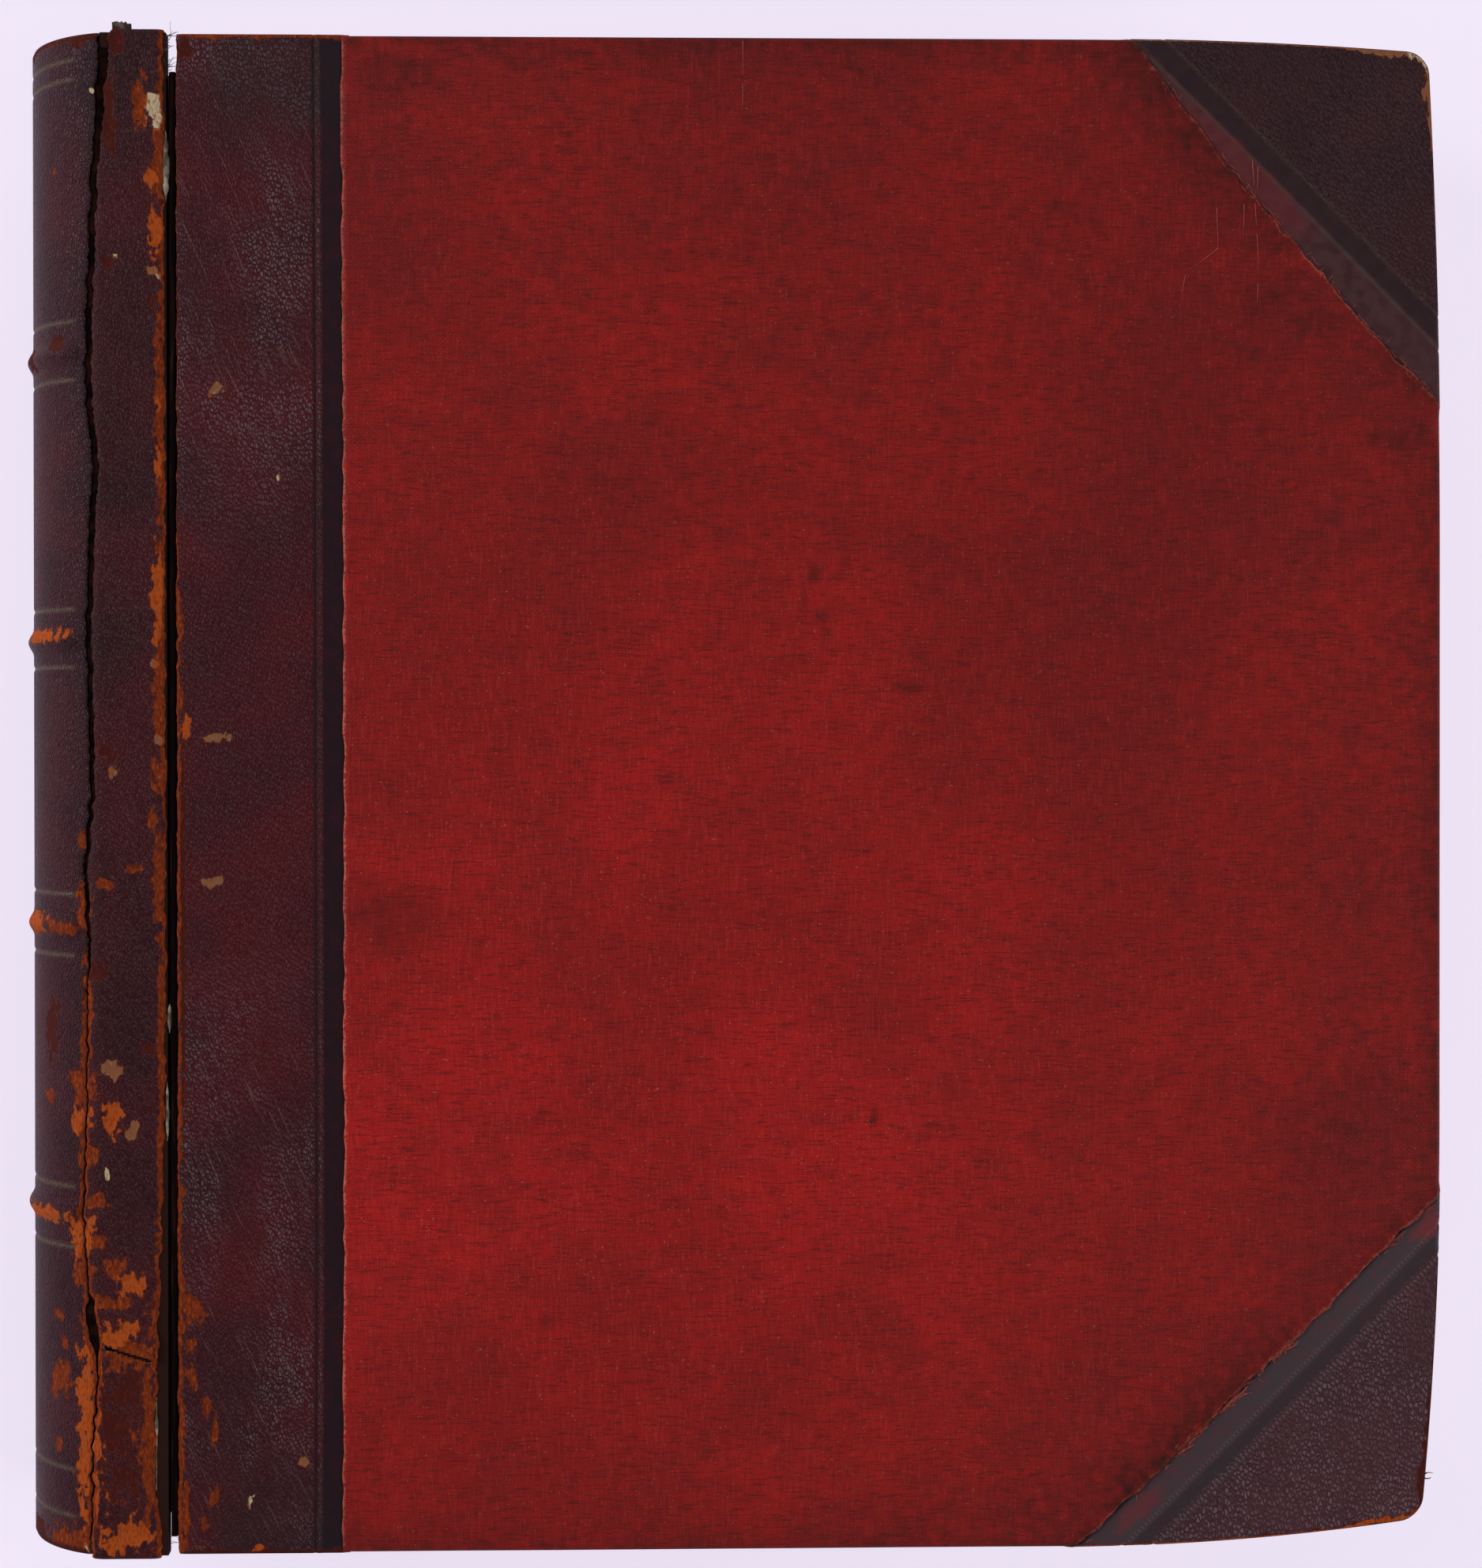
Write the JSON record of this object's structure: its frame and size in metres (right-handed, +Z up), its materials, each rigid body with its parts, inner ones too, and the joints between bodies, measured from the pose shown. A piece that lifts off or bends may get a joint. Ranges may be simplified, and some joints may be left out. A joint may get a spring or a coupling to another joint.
{
  "type": "photo album",
  "caption": "Large closed half-leather photograph album with cloth sides, raised bands on a rounded spine, hinge strips and turning card leaves.",
  "frame": {"origin": "under the middle of the closed album, on the surface that it lies on", "axes": "+X from the spine to the fore-edge, +Y from the tail to the head, +Z up, through the front cover"},
  "size_m": [0.342, 0.3628, 0.0563],
  "materials": {
    "morocco": "grained, worn, satin",
    "strip_morocco": "grained, worn, satin",
    "book_cloth": "plain woven, sized, matt",
    "millboard": "pressed, matt",
    "back_card": "rolled, matt",
    "leaf_card": "smooth, matt",
    "stub_card": "cut edges, matt",
    "linen": "plain woven, matt",
    "joint_cloth": "fine cloth, worn, matt",
    "endpaper": "laid, matt",
    "headband_silk": "twisted thread, satin"
  },
  "bodies": {
    "spine_block": {"spine_leather": "morocco", "spine_hollow": "back_card", "raised_band_1": "back_card", "raised_band_2": "back_card", "raised_band_3": "back_card", "raised_band_4": "back_card", "spine_mull": "linen", "sewing_tapes": "linen", "head_band": "headband_silk", "tail_band": "headband_silk", "stub_pack": "stub_card", "guard_linens": "linen", "front_strip_board": "millboard", "front_strip_leather": "strip_morocco", "back_strip_board": "millboard", "back_strip_leather": "strip_morocco"},
    "front_cover": {"front_board": "millboard", "front_infill": "endpaper", "front_cloth": "book_cloth", "front_leather": "morocco", "front_corner_head": "morocco", "front_corner_tail": "morocco", "front_pastedown": "endpaper", "front_joint_lining": "joint_cloth"},
    "back_cover": {"back_board": "millboard", "back_infill": "endpaper", "back_cloth": "book_cloth", "back_leather": "morocco", "back_corner_head": "morocco", "back_corner_tail": "morocco", "back_pastedown": "endpaper", "back_joint_lining": "joint_cloth"},
    "front_flyleaf": {"front_flyleaf": "endpaper"},
    "back_flyleaf": {"back_flyleaf": "endpaper"},
    "leaf_01": {"leaf_01": "leaf_card"},
    "leaf_02": {"leaf_02": "leaf_card"},
    "leaf_03": {"leaf_03": "leaf_card"},
    "leaf_04": {"leaf_04": "leaf_card"},
    "leaf_05": {"leaf_05": "leaf_card"},
    "leaf_06": {"leaf_06": "leaf_card"},
    "leaf_07": {"leaf_07": "leaf_card"},
    "leaf_08": {"leaf_08": "leaf_card"},
    "leaf_09": {"leaf_09": "leaf_card"},
    "leaf_10": {"leaf_10": "leaf_card"},
    "leaf_11": {"leaf_11": "leaf_card"},
    "leaf_12": {"leaf_12": "leaf_card"},
    "leaf_13": {"leaf_13": "leaf_card"},
    "leaf_14": {"leaf_14": "leaf_card"},
    "leaf_15": {"leaf_15": "leaf_card"},
    "leaf_16": {"leaf_16": "leaf_card"},
    "leaf_17": {"leaf_17": "leaf_card"},
    "leaf_18": {"leaf_18": "leaf_card"}
  },
  "joints": [
    {"name": "front_cover_hinge", "type": "hinge", "parent": "spine_block", "child": "front_cover", "pos_m": [-0.13145, 0, 0.0566], "axis": [0, -1, 0], "range_deg": [0, 178]},
    {"name": "back_cover_hinge", "type": "hinge", "parent": "spine_block", "child": "back_cover", "pos_m": [-0.13145, 0, -0.0003], "axis": [0, 1, 0], "range_deg": [0, 178]},
    {"name": "front_flyleaf_fold", "type": "hinge", "parent": "spine_block", "child": "front_flyleaf", "pos_m": [-0.13065, 0, 0.0507], "axis": [0, -1, 0], "range_deg": [0, 84]},
    {"name": "leaf_01_fold", "type": "hinge", "parent": "spine_block", "child": "leaf_01", "pos_m": [-0.13065, 0, 0.0494], "axis": [0, -1, 0], "range_deg": [0, 70]},
    {"name": "leaf_02_fold", "type": "hinge", "parent": "spine_block", "child": "leaf_02", "pos_m": [-0.13065, 0, 0.0469], "axis": [0, -1, 0], "range_deg": [0, 64.6]},
    {"name": "leaf_03_fold", "type": "hinge", "parent": "spine_block", "child": "leaf_03", "pos_m": [-0.13065, 0, 0.0444], "axis": [0, -1, 0], "range_deg": [0, 59.4]},
    {"name": "leaf_04_fold", "type": "hinge", "parent": "spine_block", "child": "leaf_04", "pos_m": [-0.13065, 0, 0.0419], "axis": [0, -1, 0], "range_deg": [0, 54.2]},
    {"name": "leaf_05_fold", "type": "hinge", "parent": "spine_block", "child": "leaf_05", "pos_m": [-0.13065, 0, 0.0394], "axis": [0, -1, 0], "range_deg": [0, 49.2]},
    {"name": "leaf_06_fold", "type": "hinge", "parent": "spine_block", "child": "leaf_06", "pos_m": [-0.13065, 0, 0.0369], "axis": [0, -1, 0], "range_deg": [0, 44.4]},
    {"name": "leaf_07_fold", "type": "hinge", "parent": "spine_block", "child": "leaf_07", "pos_m": [-0.13065, 0, 0.0344], "axis": [0, -1, 0], "range_deg": [0, 39.7]},
    {"name": "leaf_08_fold", "type": "hinge", "parent": "spine_block", "child": "leaf_08", "pos_m": [-0.13065, 0, 0.0319], "axis": [0, -1, 0], "range_deg": [0, 35.1]},
    {"name": "leaf_09_fold", "type": "hinge", "parent": "spine_block", "child": "leaf_09", "pos_m": [-0.13065, 0, 0.0294], "axis": [0, -1, 0], "range_deg": [0, 30.7]},
    {"name": "leaf_10_fold", "type": "hinge", "parent": "spine_block", "child": "leaf_10", "pos_m": [-0.13065, 0, 0.0269], "axis": [0, -1, 0], "range_deg": [0, 26.5]},
    {"name": "leaf_11_fold", "type": "hinge", "parent": "spine_block", "child": "leaf_11", "pos_m": [-0.13065, 0, 0.0244], "axis": [0, -1, 0], "range_deg": [0, 22.5]},
    {"name": "leaf_12_fold", "type": "hinge", "parent": "spine_block", "child": "leaf_12", "pos_m": [-0.13065, 0, 0.0219], "axis": [0, -1, 0], "range_deg": [0, 18.7]},
    {"name": "leaf_13_fold", "type": "hinge", "parent": "spine_block", "child": "leaf_13", "pos_m": [-0.13065, 0, 0.0194], "axis": [0, -1, 0], "range_deg": [0, 15]},
    {"name": "leaf_14_fold", "type": "hinge", "parent": "spine_block", "child": "leaf_14", "pos_m": [-0.13065, 0, 0.0169], "axis": [0, -1, 0], "range_deg": [0, 11.6]},
    {"name": "leaf_15_fold", "type": "hinge", "parent": "spine_block", "child": "leaf_15", "pos_m": [-0.13065, 0, 0.0144], "axis": [0, -1, 0], "range_deg": [0, 8.5]},
    {"name": "leaf_16_fold", "type": "hinge", "parent": "spine_block", "child": "leaf_16", "pos_m": [-0.13065, 0, 0.0119], "axis": [0, -1, 0], "range_deg": [0, 5.7]},
    {"name": "leaf_17_fold", "type": "hinge", "parent": "spine_block", "child": "leaf_17", "pos_m": [-0.13065, 0, 0.0094], "axis": [0, -1, 0], "range_deg": [0, 3.2]},
    {"name": "leaf_18_fold", "type": "hinge", "parent": "spine_block", "child": "leaf_18", "pos_m": [-0.13065, 0, 0.0069], "axis": [0, -1, 0], "range_deg": [0, 1.2]},
    {"name": "back_flyleaf_fold", "type": "hinge", "parent": "spine_block", "child": "back_flyleaf", "pos_m": [-0.13065, 0, 0.0056], "axis": [0, 1, 0], "range_deg": [0, 84]}
  ],
  "couplings": [
    {"joint": "front_flyleaf_fold", "follows": "front_cover_hinge", "ratio": 0.47191},
    {"joint": "leaf_01_fold", "follows": "front_cover_hinge", "ratio": 0.39326},
    {"joint": "leaf_02_fold", "follows": "front_cover_hinge", "ratio": 0.36292},
    {"joint": "leaf_03_fold", "follows": "front_cover_hinge", "ratio": 0.33371},
    {"joint": "leaf_04_fold", "follows": "front_cover_hinge", "ratio": 0.30449},
    {"joint": "leaf_05_fold", "follows": "front_cover_hinge", "ratio": 0.2764},
    {"joint": "leaf_06_fold", "follows": "front_cover_hinge", "ratio": 0.24944},
    {"joint": "leaf_07_fold", "follows": "front_cover_hinge", "ratio": 0.22303},
    {"joint": "leaf_08_fold", "follows": "front_cover_hinge", "ratio": 0.19719},
    {"joint": "leaf_09_fold", "follows": "front_cover_hinge", "ratio": 0.17247},
    {"joint": "leaf_10_fold", "follows": "front_cover_hinge", "ratio": 0.14888},
    {"joint": "leaf_11_fold", "follows": "front_cover_hinge", "ratio": 0.1264},
    {"joint": "leaf_12_fold", "follows": "front_cover_hinge", "ratio": 0.10506},
    {"joint": "leaf_13_fold", "follows": "front_cover_hinge", "ratio": 0.08427},
    {"joint": "leaf_14_fold", "follows": "front_cover_hinge", "ratio": 0.065169},
    {"joint": "leaf_15_fold", "follows": "front_cover_hinge", "ratio": 0.047753},
    {"joint": "leaf_16_fold", "follows": "front_cover_hinge", "ratio": 0.032022},
    {"joint": "leaf_17_fold", "follows": "front_cover_hinge", "ratio": 0.017978},
    {"joint": "leaf_18_fold", "follows": "front_cover_hinge", "ratio": 0.006742},
    {"joint": "back_flyleaf_fold", "follows": "back_cover_hinge", "ratio": 0.47191}
  ]
}
